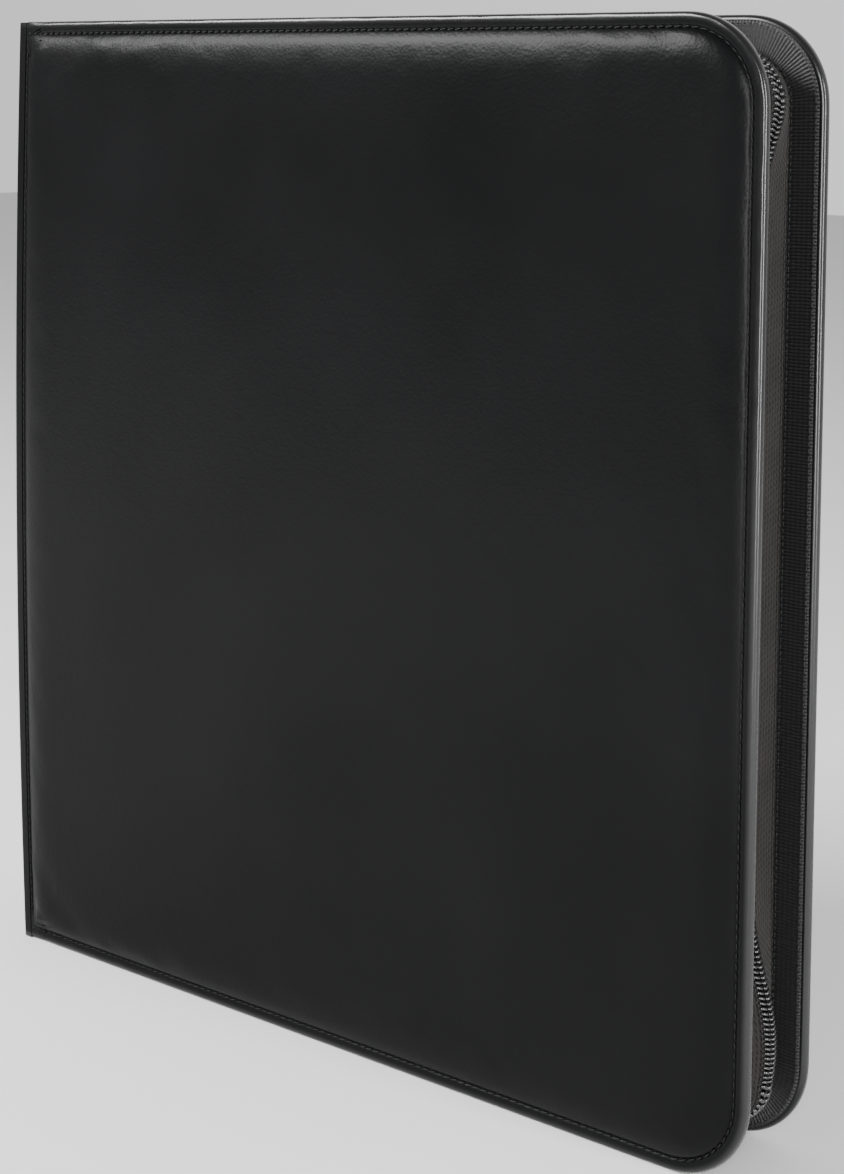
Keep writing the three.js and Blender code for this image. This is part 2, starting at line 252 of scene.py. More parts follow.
def padded_blank(name, left, right, outer, inner, fore_radius, counts, rings):
    """An open-backed shell with a turned rim, a sewn-in groove and rings that rise to a padded top. Next to its
    square corners the outline has no points for as far as the rings reach in, so that none of them cross."""
    piece = flat_start(name, ((left + right) / 2, COVER_HEIGHT / 2, inner), right - left, COVER_HEIGHT)
    across, upright, fore = counts
    if fore_radius:
        pick(piece, lambda v: v.co.x > right - 1e-4)
        bpy.ops.mesh.bevel(offset=fore_radius, segments=12, affect="VERTICES")
    bpy.ops.mesh.select_all(action="SELECT")
    bpy.ops.mesh.delete(type="ONLY_FACE")
    pick(piece, lambda e: edge_runs(e, 0), "EDGE")
    bpy.ops.mesh.subdivide(number_cuts=across - 1)
    pick(piece, lambda e: edge_runs(e, 1, lambda m: m.x < left + 1e-4), "EDGE")
    bpy.ops.mesh.subdivide(number_cuts=upright - 1)
    pick(piece, lambda e: edge_runs(e, 1, lambda m: m.x > right - 1e-4), "EDGE")
    bpy.ops.mesh.subdivide(number_cuts=fore - 1)
    clear = 0.0020 + sum(thickness for thickness, _ in rings)
    fixed_x, reach = (right - fore_radius, right - fore_radius - left) if fore_radius else (0, (right - left) / 2)
    pick(piece, lambda v: left + 1e-4 < v.co.x < right - fore_radius - 1e-4)
    bpy.ops.transform.resize(value=((reach - clear) / (reach - (right - fore_radius - left) / across), 1, 1),
                             center_override=(fixed_x, 0, 0))
    pick(piece, lambda v: 1e-4 < v.co.y < COVER_HEIGHT - 1e-4 and (v.co.x < left + 1e-4 or not fore_radius))
    bpy.ops.transform.resize(value=(1, (0.5 * COVER_HEIGHT - clear) / ((0.5 - 1 / upright) * COVER_HEIGHT), 1),
                             center_override=(0, COVER_HEIGHT / 2, 0))
    bpy.ops.mesh.select_all(action="SELECT")
    bpy.ops.mesh.edge_face_add()
    extrude(0, 0, outer - inner)
    face_outwards()
    pick(piece, lambda e: abs(e.verts[0].co.z - e.verts[1].co.z) < 1e-6, "EDGE")
    bpy.ops.mesh.bevel(offset=RIM_ROUNDING, segments=5, affect="EDGES")
    pick(piece, lambda f: f.normal.z < -0.99 and len(f.verts) > 20, "FACE")
    bpy.ops.mesh.inset(thickness=TURNED_IN_LIP, use_even_offset=True)
    bpy.ops.mesh.delete(type="FACE")
    pick(piece, lambda f: f.normal.z > 0.99 and len(f.verts) > 20, "FACE")
    for thickness, rise in rings:
        ring_in(thickness, rise)
    bpy.ops.mesh.delete(type="FACE")
    top = outer + sum(rise for _, rise in rings)
    pick(piece, lambda e: len(e.link_faces) == 1 and e.verts[0].co.z > top - 1e-4, "EDGE")
    bpy.ops.mesh.fill_grid(span=across + (6 if fore_radius else 0))
    pick(piece, lambda v: min(v.co.y, COVER_HEIGHT - v.co.y) < clear - 0.0006 and (
        v.co.x < left + clear - 0.0006 or not fore_radius and v.co.x > right - clear + 0.0006))
    bpy.ops.transform.vert_crease(value=1)
    face_outwards()
    finish_editing()
    return piece


def squeeze_flange(piece, seam, away):
    """Narrows the rim beyond a seam at x = seam on a side that folds, where away is -1 or 1."""
    only(piece)
    bpy.ops.object.mode_set(mode="EDIT")
    pick(piece, lambda v: (v.co.x - seam) * away > 0)
    bpy.ops.transform.resize(value=(FOLD_FLANGE / SEAM_INSET, 1, 1), center_override=(seam, 0, 0))
    finish_editing()


def puff(piece, sewn_below, most):
    """Blows up the leatherette inside the seam as cloth, held along it, and keeps each point's travel small."""
    before = [v.co.copy() for v in piece.data.vertices]
    only(piece)
    sewn = piece.vertex_groups.new(name="sewn")
    sewn.add([v.index for v in piece.data.vertices if v.co.z < sewn_below], 1, "REPLACE")
    bpy.ops.object.modifier_add(type="CLOTH")
    cloth = piece.modifiers[-1]
    cloth.settings.quality = 6
    cloth.settings.mass = 0.2
    cloth.settings.tension_stiffness = cloth.settings.compression_stiffness = 25
    cloth.settings.shear_stiffness = 8
    cloth.settings.bending_stiffness = 0.6
    cloth.settings.effector_weights.gravity = 0
    cloth.settings.use_pressure = True
    cloth.settings.uniform_pressure_force = 4
    cloth.settings.shrink_min = -0.005
    cloth.settings.vertex_group_mass = "sewn"
    cloth.collision_settings.use_collision = False
    for moment in range(1, 21):
        bpy.context.scene.frame_set(moment)
    bpy.ops.object.modifier_apply(modifier=cloth.name)
    bpy.context.scene.frame_set(1)
    piece.vertex_groups.clear()
    for vertex, start_at in zip(piece.data.vertices, before):
        moved = vertex.co - start_at
        if moved.length > 1e-9:
            vertex.co = start_at + moved * (most * math.tanh(moved.length / most) / moved.length)


def bow_fold_side(piece):
    """The soft fold between the boards bows out in the middle of its height."""
    for vertex in piece.data.vertices:
        share = min(max((-0.115 - vertex.co.x) / 0.038, 0), 1)
        height = min(max(vertex.co.z / COVER_HEIGHT, 0), 1)
        bulge = FOLD_BOW * 4 * height * (1 - height) * share * share * (3 - 2 * share)
        vertex.co.x -= bulge


def shape_by(piece, kind, **settings):
    """Adds a modifier to a piece with its settings, and applies it."""
    only(piece)
    bpy.ops.object.modifier_add(type=kind)
    modifier = piece.modifiers[-1]
    for key, value in settings.items():
        setattr(modifier, key, value)
    bpy.ops.object.modifier_apply(modifier=modifier.name)


def smooth_and_thicken(piece, thickness, levels=1):
    if levels:
        shape_by(piece, "SUBSURF", levels=levels, render_levels=levels)
    shape_by(piece, "SOLIDIFY", thickness=thickness, offset=-1)
    bpy.ops.object.shade_smooth_by_angle(angle=math.radians(50))


def turn_inside_out(piece):
    only(piece)
    bpy.ops.object.mode_set(mode="EDIT")
    bpy.ops.mesh.select_all(action="SELECT")
    bpy.ops.mesh.flip_normals()
    finish_editing()


def mirrored(piece, name, axis=1, middle=0.0):
    """A copy with its own mesh on the other side of a plane: of itself, that between the two covers."""
    only(piece)
    bpy.ops.object.duplicate()
    copy = bpy.context.object
    copy.name = copy.data.name = name
    copy.scale[axis] = -1
    copy.location[axis] = 2 * middle
    settle()
    turn_inside_out(copy)
    return copy


def patches(place, scale, detail, roughness=0.5):
    """Soft uneven patches, from 0 to 1."""
    return place.node("ShaderNodeTexNoise", {}, {"Vector": place, "Scale": scale, "Detail": detail,
                                                 "Roughness": roughness})


def colour_by(value, shader, *stops):
    plug(value.node("ShaderNodeValToRGB", {"stops": stops}, {"Fac": value}), shader, "Base Color")


def relief_by(height, shader, strength, distance):
    plug(height.node("ShaderNodeBump", {}, {"Height": height, "Strength": strength, "Distance": distance}),
         shader, "Normal")


def leatherette(name):
    """Soft black leatherette: a fine pebble grain, faint creases and a satin gloss that varies a little. Handling
    has polished it along the cover's edge."""
    material, shader, place = finish_named(name, Specular_IOR_Level=0.07, Coat_Roughness=0.24)
    cloud = patches(place, 14.0, 3.0)
    colour_by(cloud, shader, (0.3, (0.0022, 0.0023, 0.0025)), (0.7, (0.0036, 0.0037, 0.0040)))
    plug(cloud * 0.10 + 0.28, shader, "Roughness")
    pebbles = place.node("ShaderNodeTexVoronoi", {"feature": "SMOOTH_F1"}, {"Vector": place, "Scale": 1100.0})
    creases = patches(place, 260.0, 6.0, roughness=0.6)
    relief_by(pebbles * 0.5 + creases, shader, 0.5, 0.00018)
    right = place.node("ShaderNodeSeparateXYZ", {}, {"Vector": place}, output="X")
    up = place.node("ShaderNodeSeparateXYZ", {}, {"Vector": place}, output="Z")
    past_right = right.maths("MAXIMUM", right + (FORE_RADIUS - PANEL_RIGHT), 0.0)
    past_top = up.maths("MAXIMUM", up + (FORE_RADIUS - COVER_HEIGHT), 0.0)
    past_end = up.maths("MAXIMUM", past_top, FORE_RADIUS - up)
    reach = up.maths("SQRT", past_right * past_right + past_end * past_end)
    polish = reach.node("ShaderNodeMapRange", {"interpolation_type": "SMOOTHSTEP"},
                        {"Value": reach, "From Min": FORE_RADIUS - POLISHED_EDGE, "From Max": FORE_RADIUS})
    plug(polish, shader, "Coat Weight")
    return material


POLISHED_EDGE, PUFF_LIMIT = 0.0029, 0.00018
EDGE_RINGS = [(0.0011, 0.0), (0.0011, -0.00015), (0.0004, -0.00040), (0.0004, -0.0001), (0.0004, 0.0005),
              (0.0008, 0.00055), (0.0014, 0.00065), (0.0020, 0.00055), (0.0026, 0.00035), (0.0033, 0.00015),
              (0.0040, 0.0)]
FOLD_SEAM, FOLD_FLANGE, FOLD_BOW = -0.1523, 0.0012, 0.0038
leather = leatherette("black leatherette")

front_skin = padded_blank("front_cover_leatherette", PANEL_LEFT, PANEL_RIGHT, RIM_OUTER, RIM_INNER, FORE_RADIUS,
                          (60, 74, 62), EDGE_RINGS)
squeeze_flange(front_skin, FOLD_SEAM, -1)
puff(front_skin, RIM_OUTER - 0.0001, PUFF_LIMIT)
stand_up(front_skin)
bow_fold_side(front_skin)
back_skin = mirrored(front_skin, "back_cover_leatherette")
for skin, side in ((front_skin, "front"), (back_skin, "back")):
    smooth_and_thicken(skin, LEATHER_THICKNESS)
    skin.data.materials.append(leather)
    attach(skin, side + "_cover")
    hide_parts(side + "_cover_skin")


# The seams: black polyester thread in short slanting stitches, sunk in the groove round each panel. One stitch
# is modelled and laid end to end along the seam line.
def edge_path(name, left, right, inset, radius, z, open_left=False, left_top=None):
    """A flat curve that runs round a panel at a distance inside its edge, or round three sides of it."""
    path = flat_start(name, ((left + right) / 2, COVER_HEIGHT / 2, z), right - left - 2 * inset,
                      COVER_HEIGHT - 2 * inset)
    if radius:
        pick(path, lambda v: v.co.x > 0)
        bpy.ops.mesh.bevel(offset=radius - inset, segments=12, affect="VERTICES")
    bpy.ops.mesh.select_all(action="SELECT")
    bpy.ops.mesh.delete(type="ONLY_FACE")
    if open_left:
        pick(path, lambda e: edge_runs(e, 1, lambda m: m.x < left + inset + 1e-4), "EDGE")
        bpy.ops.mesh.delete(type="EDGE")
    if left_top is not None:
        pick(path, lambda v: v.co.x < left + inset + 1e-4 and v.co.y > COVER_HEIGHT / 2)
        bpy.ops.transform.translate(value=(left_top - left - inset, 0, 0))
    finish_editing()
    bpy.ops.object.convert(target="CURVE")
    return bpy.context.object


def laid_along(tile, path, pitch, merge=False, spare=0.0):
    """Repeats a tile along a path at a pitch that divides it evenly, and turns both into one mesh."""
    spline = path.data.splines[0]
    height = spline.points[0].co.z
    path.data.dimensions = "2D"
    length = spline.calc_length() - spare
    count = round(length / pitch)
    shape_by(tile, "ARRAY", count=count, use_relative_offset=False, use_constant_offset=True,
             constant_offset_displace=(length / count, 0, 0), use_merge_vertices=merge, merge_threshold=0.00002)
    shape_by(tile, "CURVE", object=path)
    tile.location.z = height
    settle()
    bpy.data.objects.remove(path)
    return tile


COVER_SEAM_INSET, SEAM_SINK, SEAM_PITCH = 0.0044, 0.00022, 0.0030
THREAD_THICKNESS, STITCH_SLANT = 0.0006, 0.12


def stitch(name, length, thickness, slant=0.0):
    """One stitch that starts at the origin and lies along x."""
    bpy.ops.object.select_all(action="DESELECT")
    bpy.ops.mesh.primitive_uv_sphere_add(segments=6, ring_count=6, radius=0.5, rotation=(0, math.pi / 2, 0),
                                         location=(length / 2, 0, 0))
    bpy.context.object.scale = (thickness, thickness, length)
    piece = start_piece(name)
    bpy.ops.mesh.select_all(action="SELECT")
    bpy.ops.transform.rotate(value=-slant, orient_axis="Z", center_override=(length / 2, 0, 0))
    finish_editing()
    bpy.ops.object.shade_smooth()
    return piece


def shaded(colour, share):
    return tuple(part * share for part in colour)


def thread_finish(name, colour):
    material, shader, place = finish_named(name, Roughness=0.55, Specular_IOR_Level=0.18)
    strands = patches(place, 5200.0, 2.0)
    colour_by(strands, shader, (0.3, shaded(colour, 0.7)), (0.7, shaded(colour, 1.3)))
    relief_by(strands, shader, 0.4, 0.00006)
    return material


black_thread = thread_finish("black thread", (0.0036, 0.0036, 0.0040))
seam = edge_path("seam_path", PANEL_LEFT, PANEL_RIGHT, COVER_SEAM_INSET, FORE_RADIUS, RIM_OUTER - SEAM_SINK)
front_stitches = laid_along(stitch("front_cover_stitching", 0.0020, THREAD_THICKNESS, STITCH_SLANT), seam, SEAM_PITCH)
stand_up(front_stitches)
bow_fold_side(front_stitches)
back_stitches = mirrored(front_stitches, "back_cover_stitching")
for stitches, body in ((front_stitches, "front_cover"), (back_stitches, "back_cover")):
    stitches.data.materials.append(black_thread)
    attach(stitches, body)


# The folds: the covers' leatherette carries on round the hinge lines on to the spine, with no board behind it.
# Each is half a tube round its hinge line, with a tail at either side that lies under the neighbouring skin.
HINGE_X, HINGE_Y = -0.1558, 0.0175
FOLD_RADIUS, FOLD_TAIL = 0.0021, 0.0025


def fold_strip(name):
    bpy.ops.object.select_all(action="DESELECT")
    bpy.ops.mesh.primitive_circle_add(vertices=40, radius=FOLD_RADIUS, location=(HINGE_X, -HINGE_Y, 0.0003))
    strip = start_piece(name)
    pick(strip, lambda v: v.co.x > HINGE_X + 1e-5 or v.co.y > -HINGE_Y + 1e-5)
    bpy.ops.mesh.delete(type="VERT")
    pick(strip, lambda v: abs(v.co.x - HINGE_X) < 1e-5)
    extrude(FOLD_TAIL, 0, 0)
    pick(strip, lambda v: abs(v.co.y + HINGE_Y) < 1e-5 and v.co.x < HINGE_X)
    extrude(0, FOLD_TAIL, 0)
    bpy.ops.mesh.select_all(action="SELECT")
    extrude(0, 0, COVER_HEIGHT - 0.0006)
    pick(strip, lambda e: edge_runs(e, 2), "EDGE")
    bpy.ops.mesh.subdivide(number_cuts=71)
    face_outwards()
    finish_editing()
    outward = sum(p.normal.dot(p.center - Vector((HINGE_X, -HINGE_Y, p.center.z))) for p in strip.data.polygons)
    if outward < 0:
        turn_inside_out(strip)
    bow_fold_side(strip)
    return strip


front_fold = fold_strip("front_fold_leatherette")
back_fold = mirrored(front_fold, "back_fold_leatherette")
for strip, side, cover in ((front_fold, -1, "front_cover"), (back_fold, 1, "back_cover")):
    smooth_and_thicken(strip, LEATHER_THICKNESS, levels=0)
    strip.data.materials.append(leather)
    side * 0.0196
    side * 0.0154
    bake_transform(strip)
    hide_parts(("front" if side < 0 else "back") + "_hinge_roll")


# The spine's skin: a long padded panel made in the same way as the covers, between the two folds. It is modelled
# flat on the bench and then turned to face away from the leaves.
SPINE_HALF, SPINE_OUTER, SPINE_INNER = 0.0152, 0.1578, 0.1538
spine_edge = SPINE_HALF + SEAM_INSET - FOLD_FLANGE
spine_skin = padded_blank("spine_leatherette", -spine_edge, spine_edge, SPINE_OUTER, SPINE_INNER, 0,
                          (10, 74, 74), EDGE_RINGS[:9])
seam_at = SPINE_HALF - FOLD_FLANGE
squeeze_flange(spine_skin, -seam_at, -1)
squeeze_flange(spine_skin, seam_at, 1)
puff(spine_skin, SPINE_OUTER + 0.0001, PUFF_LIMIT)
to_spine = Matrix(((0, 0, -1), (-1, 0, 0), (0, 1, 0))).to_4x4()
spine_path = edge_path("spine_seam_path", -spine_edge, spine_edge, COVER_SEAM_INSET, 0, SPINE_OUTER - SEAM_SINK)
spine_stitches = laid_along(stitch("spine_stitching", 0.0023, THREAD_THICKNESS, STITCH_SLANT), spine_path, SEAM_PITCH)
for piece in (spine_skin, spine_stitches):
    only(piece)
    piece.matrix_world = to_spine
    settle()
    bow_fold_side(piece)
smooth_and_thicken(spine_skin, LEATHER_THICKNESS)
spine_skin.data.materials.append(leather)
spine_stitches.data.materials.append(black_thread)
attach(spine_skin, "spine")
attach(spine_stitches, "spine")
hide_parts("spine_skin")


# The edge webbing: a ribbed grosgrain ribbon sewn round the inside of each cover's three free edges, over the
# turned-in leatherette. Its ribs lie across it, and fan out round the corners.
RIBBON_WIDTH, RIB_PITCH, RIB_ROWS = 0.0100, 0.00105, 12
RIB_HIGH, RIB_LOW, SELVEDGE_DROP = 0.00046, 0.00016, 0.00030


def ribbon(name):
    """Built as the back cover's, whose ribs face the front."""
    path = edge_path("ribbon_path", PANEL_LEFT, PANEL_RIGHT, 0.0067, FORE_RADIUS, -RIM_INNER + 0.0005,
                     open_left=True)
    bpy.ops.object.select_all(action="DESELECT")
    bpy.ops.mesh.primitive_grid_add(x_subdivisions=3, y_subdivisions=RIB_ROWS, size=1,
                                    location=(RIB_PITCH / 2, 0, 0))
    bpy.context.object.scale = (RIB_PITCH, RIBBON_WIDTH, 1)
    rib = start_piece(name)
    finish_editing()
    # The ribs' light and shade are painted into the colour: this per-point value is high on the taller crests, a
    # painted highlight, and low between the ribs, a painted shade.
    painted_rib_shade = rib.data.attributes.new("rib_crest", "FLOAT", "POINT")
    for vertex in rib.data.vertices:
        crest = math.sin(math.pi * min(max(vertex.co.x / RIB_PITCH, 0), 1))
        row = round((vertex.co.y / RIBBON_WIDTH + 0.5) * RIB_ROWS)
        vertex.co.z += crest * (RIB_HIGH if row % 2 else RIB_LOW)
        painted_rib_shade.data[vertex.index].value = crest * (1.0 if row % 2 else 0.05)
        if row in (0, RIB_ROWS):
            vertex.co.z -= SELVEDGE_DROP
    return laid_along(rib, path, RIB_PITCH, merge=True)


def grosgrain(name):
    """Ribbed ribbon of a fine uneven thread, with painted shade between its ribs and a painted highlight on their
    crests.
    """
    material, shader, place = finish_named(name, Roughness=0.5, Specular_IOR_Level=0.35, Sheen_Weight=0.05,
                                           Sheen_Roughness=0.5)
    # Base colour from the per-point value, painted shade between the ribs and painted light on their crests, mixed
    # with the thread's own uneven tone.
    crest = place.node("ShaderNodeAttribute", {"attribute_name": "rib_crest"}, output="Fac")
    thread = patches(place, 1600.0, 4.0)
    colour_by(crest * 0.75 + thread * 0.25, shader, (0.15, (0.0008, 0.0008, 0.0009)),
              (0.85, (0.0150, 0.0150, 0.0160)))
    relief_by(thread, shader, 0.6, 0.00015)
    return material


ribbon_cloth = grosgrain("black grosgrain")
back_ribbon = ribbon("back_edge_grosgrain")
stand_up(back_ribbon)
front_ribbon = mirrored(back_ribbon, "front_edge_grosgrain")
for band, side in ((front_ribbon, "front"), (back_ribbon, "back")):
    smooth_and_thicken(band, 0.0004, levels=0)
    band.data.materials.append(ribbon_cloth)
    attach(band, side + "_cover")
    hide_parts(side + "_edge_webbing")
    side + "_cover_leatherette"
ribbon_thread = thread_finish("ribbon thread", (0.016, 0.016, 0.017))
for row, inset in (("outer", 0.0026), ("inner", 0.0108)):
    path = edge_path("ribbon_seam_path", -0.1504 - inset, PANEL_RIGHT, inset, FORE_RADIUS, -RIM_INNER + 0.0009,
                     open_left=True)
    back_row = laid_along(stitch("back_ribbon_seam_" + row, 0.0014, 0.00042), path, 0.0021)
    stand_up(back_row)
    for seam, side in ((mirrored(back_row, "front_ribbon_seam_" + row), "front"), (back_row, "back")):
        seam.data.materials.append(ribbon_thread)
        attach(seam, side + "_cover")


# The zipper's tapes: twill tape that stands on the inside of each cover, sewn down behind the ribbon. Round the
# corners the tape is too long for its place, so it leans out there.
TAPE_INSET, TAPE_MIDDLE_EDGE, TAPE_ROOT, TAPE_ROWS = 0.0119, 0.0024, 0.0152, 6
TAPE_LEFT, TAPE_SAG, ROUND_CORNER = -0.1508, 0.0022, 0.0004


def lean_out(piece):
    """Moves the tape, its coil and its stitches outwards near the fore corners, most at the chain, and lets
    them sag inwards between the corners."""
    corner_x = PANEL_RIGHT - FORE_RADIUS
    for vertex in piece.data.vertices:
        x, y, z = vertex.co
        near_chain = min(max((0.0150 - abs(y)) / 0.0125, 0), 1)
        low = z < COVER_HEIGHT / 2
        from_end = z if low else COVER_HEIGHT - z
        at_corner, peak, spread = (0.0076, 0.037, 0.030) if low else (0.0054, 0.024, 0.021)
        if x > corner_x and from_end >= FORE_RADIUS:
            outwards = Vector((1, 0, 0))
            swell = math.exp(-((from_end - peak) / spread) ** 2)
            swell_at_corner = math.exp(-((FORE_RADIUS - peak) / spread) ** 2)
            amount = -TAPE_SAG + (at_corner + TAPE_SAG) * swell / swell_at_corner
        elif x > corner_x:
            outwards = Vector((x, 0, z)) - Vector((corner_x, 0, FORE_RADIUS if low else COVER_HEIGHT - FORE_RADIUS))
            outwards.normalize()
            amount = ROUND_CORNER + (at_corner - ROUND_CORNER) * max(outwards.x, 0) ** (2 if low else 1)
        else:
            outwards = Vector((0, 0, -1 if low else 1))
            amount = ROUND_CORNER * math.exp(-((corner_x - x) / 0.045) ** 2)
        ripple = 0.00022 * math.sin(85 * (x + z) + 2.1) + 0.00012 * math.sin(211 * (x - z))
        vertex.co += outwards * ((amount + ripple) * near_chain)


def tape(name):
    """Built as the back cover's: rows of cloth from the chain's edge to the cover."""
    width = PANEL_RIGHT - TAPE_INSET - TAPE_LEFT
    cloth = flat_start(name, (TAPE_LEFT + width / 2, COVER_HEIGHT / 2, -TAPE_MIDDLE_EDGE), width,
                       COVER_HEIGHT - 2 * TAPE_INSET)
    pick(cloth, lambda v: v.co.x > 0)
    bpy.ops.mesh.bevel(offset=FORE_RADIUS - TAPE_INSET, segments=12, affect="VERTICES")
    bpy.ops.mesh.select_all(action="SELECT")
    bpy.ops.mesh.delete(type="ONLY_FACE")
    pick(cloth, lambda e: edge_runs(e, 1, lambda m: m.x < 0), "EDGE")
    bpy.ops.mesh.delete(type="EDGE")
    pick(cloth, lambda e: edge_runs(e, 0) or edge_runs(e, 1), "EDGE")
    bpy.ops.mesh.subdivide(number_cuts=79)
    bpy.ops.mesh.select_all(action="SELECT")
    for row in range(TAPE_ROWS):
        extrude(0, 0, -(TAPE_ROOT - TAPE_MIDDLE_EDGE) / TAPE_ROWS)
    face_outwards()
    finish_editing()
    return cloth


def woven(name, colour, warp, weft, spacing=0.0006):
    """Woven cloth: two crossed sets of fine waves for the threads, uneven in colour and height."""
    material, shader, place = finish_named(name, Roughness=0.8, Specular_IOR_Level=0.2, Sheen_Weight=0.05,
                                           Sheen_Roughness=0.5)
    waves = 2 * math.pi / 20 / spacing
    one_way, other_way = (
        place.node("ShaderNodeTexWave", {"bands_direction": direction},
                   {"Vector": place, "Scale": scale, "Distortion": 1.0, "Detail": 1.0})
        for direction, scale in ((warp, waves), (weft, waves * 0.8)))
    uneven = patches(place, 90.0, 4.0)
    threads = one_way.maths("MAXIMUM", one_way, other_way)
    colour_by(threads * 0.5 + uneven * 0.5, shader, (0.35, shaded(colour, 0.25)), (0.75, shaded(colour, 1.9)))
    relief_by(threads + uneven * 0.3, shader, 0.9, 0.00025)
    return material


twill = woven("zipper twill", (0.0072, 0.0063, 0.0058), "DIAGONAL", "Y", spacing=0.0010)
back_tape = tape("back_zip_twill")
stand_up(back_tape)
lean_out(back_tape)
front_tape = mirrored(back_tape, "front_zip_twill")
for cloth, side in ((front_tape, "front"), (back_tape, "back")):
    smooth_and_thicken(cloth, 0.0006, levels=0)
    cloth.data.materials.append(twill)
    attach(cloth, side + "_cover")
    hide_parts(side + "_zip_tape")
    side + "_cover_lining_cloth"
tape_thread = thread_finish("tape thread", (0.020, 0.019, 0.018))
for row, depth, pitch in (("chain", 0.0037, 0.0015), ("root", 0.0138, 0.0024)):
    path = edge_path("tape_seam_path", TAPE_LEFT - TAPE_INSET + 0.0004, PANEL_RIGHT, TAPE_INSET - 0.0004,
                     FORE_RADIUS, -depth, open_left=True)
    back_row = laid_along(stitch("back_tape_seam_" + row, pitch * 0.72, 0.00036), path, pitch)
    stand_up(back_row)
    lean_out(back_row)
    for seam, side in ((mirrored(back_row, "front_tape_seam_" + row), "front"), (back_row, "back")):
        seam.data.materials.append(tape_thread)
        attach(seam, side + "_cover")


# The zipper's coil: a nylon monofilament wound in flattened turns and sewn to each tape's free edge. The two
# halves lie side by side, half a turn apart, with room between them for the slider's divider.
COIL_PITCH, TURN_RADIUS, FILAMENT_RADIUS = 0.0015, 0.00062, 0.00046
CHAIN_START, BACK_HALF_START, SLIDER_MOUTH = -0.1432, -0.1386, -0.1292


def coil_half(name, reach, start_at, left_top):
    """Turns that reach from a tape to just short of the middle, for reach < 0 towards the back."""
    path = edge_path("coil_path", CHAIN_START - TAPE_INSET, PANEL_RIGHT, TAPE_INSET, FORE_RADIUS, 0,
                     open_left=True, left_top=left_top)
    bpy.ops.object.select_all(action="DESELECT")
    bpy.ops.mesh.primitive_torus_add(major_segments=12, minor_segments=6, major_radius=TURN_RADIUS,
                                     minor_radius=FILAMENT_RADIUS, rotation=(0, math.pi / 2, 0),
                                     location=(start_at + 0.0004, 0, 0.0))
    turn = start_piece(name)
    pick(turn, lambda v: v.co.z * reach > 1e-6)
    bpy.ops.transform.translate(value=(0.00055, 0, reach * 0.0009))
    bpy.ops.mesh.select_all(action="SELECT")
    bpy.ops.transform.translate(value=(0, 0, reach * 0.0013))
    finish_editing()
    bpy.ops.object.shade_smooth()
    return laid_along(turn, path, COIL_PITCH, spare=0.0010)


def nylon(name):
    material, shader, place = finish_named(name, Specular_IOR_Level=0.9)
    wear = patches(place, 320.0, 3.0)
    colour_by(wear, shader, (0.3, (0.006, 0.006, 0.0065)), (0.75, (0.014, 0.0135, 0.0135)))
    plug(wear * 0.16 + 0.2, shader, "Roughness")
    return material


coil_nylon = nylon("black nylon")
for side, reach, start_at, left_top in (("back", -1, 0.0, BACK_HALF_START),
                                        ("front", 1, COIL_PITCH / 2, SLIDER_MOUTH)):
    half = coil_half(side + "_zip_turns", reach, start_at, left_top)
    stand_up(half)
    lean_out(half)
    half.data.materials.append(coil_nylon)
    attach(half, side + "_cover")
    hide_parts(side + "_zip_coil")


# The slider, cast in zinc and plated dark: two plates with turned-in flanges, a divider between them at the nose,
# and a lug on top that holds the pull. It is parked at the spine end of the top run.
def metal_finish(name):
    """Dark plated metal with faint casting marks and wear that lightens it."""
    material, shader, place = finish_named(name, Metallic=1.0)
    marks, wear = patches(place, 900.0, 5.0), patches(place, 160.0, 3.0)
    colour_by(wear, shader, (0.35, (0.045, 0.045, 0.048)), (0.75, (0.130, 0.128, 0.125)))
    plug(marks * 0.18 + 0.24, shader, "Roughness")
    relief_by(marks, shader, 0.25, 0.00004)
    return material


def add_block(name, low, high):
    """A block between two corners, open for editing."""
    bpy.ops.object.select_all(action="DESELECT")
    middle = [(a + b) / 2 for a, b in zip(low, high)]
    bpy.ops.mesh.primitive_cube_add(size=1, location=middle)
    bpy.context.object.scale = [b - a for a, b in zip(low, high)]
    return start_piece(name)


def round_edges(piece, width):
    shape_by(piece, "BEVEL", width=width, segments=2, limit_method="ANGLE")
    bpy.ops.object.shade_smooth_by_angle(angle=math.radians(35))


def joined(name, *pieces):
    only(*pieces)
    bpy.ops.object.join()
    bpy.context.object.name = bpy.context.object.data.name = name
    return bpy.context.object


slider_low, slider_high = [Vector(corner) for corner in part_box("zip_slider")]
chain_z = slider_low.z + 0.0025
plate_half = slider_high.y
plate = add_block("slider_plate", (slider_low.x, -plate_half, chain_z + 0.0015),
                  (slider_high.x, plate_half, chain_z + 0.0025))
pick(plate, lambda f: f.normal.z < -0.9, "FACE")
bpy.ops.mesh.inset(thickness=0.0008)
pick(plate, lambda f: f.normal.z < -0.9 and abs(f.calc_center_median().y) > plate_half - 0.0008, "FACE")
extrude(0, 0, -0.00075)
pick(plate, lambda e: edge_runs(e, 2, lambda m: m.x < slider_low.x + 1e-5 and abs(m.y) > plate_half - 1e-5), "EDGE")
bpy.ops.mesh.bevel(offset=0.0014, segments=4, affect="EDGES")
finish_editing()
under_plate = mirrored(plate, "slider_under_plate", axis=2, middle=chain_z)
divider = add_block("slider_divider", (slider_low.x + 0.0002, -0.0002, chain_z - 0.0016),
                    (slider_low.x + 0.0025, 0.0002, chain_z + 0.0016))
pick(divider, lambda e: edge_runs(e, 2), "EDGE")
bpy.ops.mesh.bevel(offset=0.00012, segments=2, affect="EDGES")
finish_editing()
middle_x = (slider_low.x + slider_high.x) / 2
lug = add_block("slider_lug", (middle_x - 0.0032, -0.0009, chain_z + 0.0024),
                (middle_x + 0.0032, 0.0009, slider_high.z))
pick(lug, lambda f: abs(f.normal.y) > 0.9, "FACE")
bpy.ops.mesh.inset(thickness=0.0007, use_individual=True)
